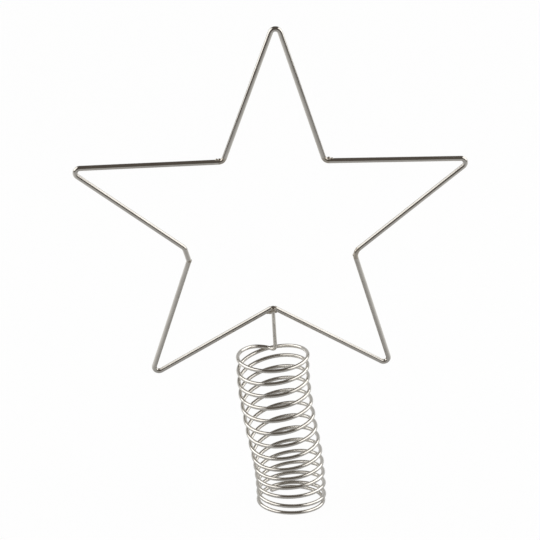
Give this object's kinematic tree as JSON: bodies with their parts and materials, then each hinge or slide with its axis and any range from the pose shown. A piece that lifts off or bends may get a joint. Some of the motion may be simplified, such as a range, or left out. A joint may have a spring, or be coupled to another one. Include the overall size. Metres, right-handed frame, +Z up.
{
  "type": "tree topper star",
  "caption": "Outline star of bent plated wire, welded to the stem of a coil spring that slips over a tree's top shoot and lets the star bob and sway.",
  "frame": {"origin": "centre of the coil's foot turn, on the surface it stands on, where the tree's top shoot goes in", "axes": "+Z up, -Y towards the front of the star, +X to the right of someone who looks at its front"},
  "size_m": [0.227, 0.0537, 0.298],
  "materials": {
    "star_wire": "bright nickel plating on drawn steel wire",
    "spring_wire": "bright nickel plating on hard-drawn steel wire",
    "weld_metal": "plated weld beads, duller than the wire"
  },
  "bodies": {
    "spring_foot": {"spring_foot_turns": "spring_wire"},
    "spring_lower": {"spring_lower_turns": "spring_wire"},
    "spring_upper": {"spring_upper_turns": "spring_wire"},
    "star": {"spring_stem_turns": "spring_wire", "star_point_top": "star_wire", "star_point_right": "star_wire", "star_point_lower_right": "star_wire", "star_point_lower_left": "star_wire", "star_point_left": "star_wire", "weld_upper_right": "weld_metal", "weld_right": "weld_metal", "weld_left": "weld_metal", "weld_upper_left": "weld_metal", "weld_stem": "weld_metal"}
  },
  "joints": [
    {"name": "spring_bob", "type": "slide", "parent": "spring_foot", "child": "spring_lower", "axis": [-0.1669, -0.1249, 0.978], "range_m": [-0.02, 0.02], "stiffness_N_per_m": 190, "springref_m": 0.00402, "deforming": ["spring_lower_turns"]},
    {"name": "spring_sway", "type": "hinge", "parent": "spring_lower", "child": "spring_upper", "pos_m": [-0.00691, -0.00414, 0.05291], "axis": [0, 1, 0], "range_deg": [-25, 25], "stiffness_Nm_per_rad": 0.16, "springref_deg": 1.03, "deforming": ["spring_upper_turns"]},
    {"name": "spring_nod", "type": "hinge", "parent": "spring_upper", "child": "star", "pos_m": [-0.01105, -0.00775, 0.07873], "axis": [1, 0, 0], "range_deg": [-25, 25], "stiffness_Nm_per_rad": 0.16, "springref_deg": -0.05}
  ]
}
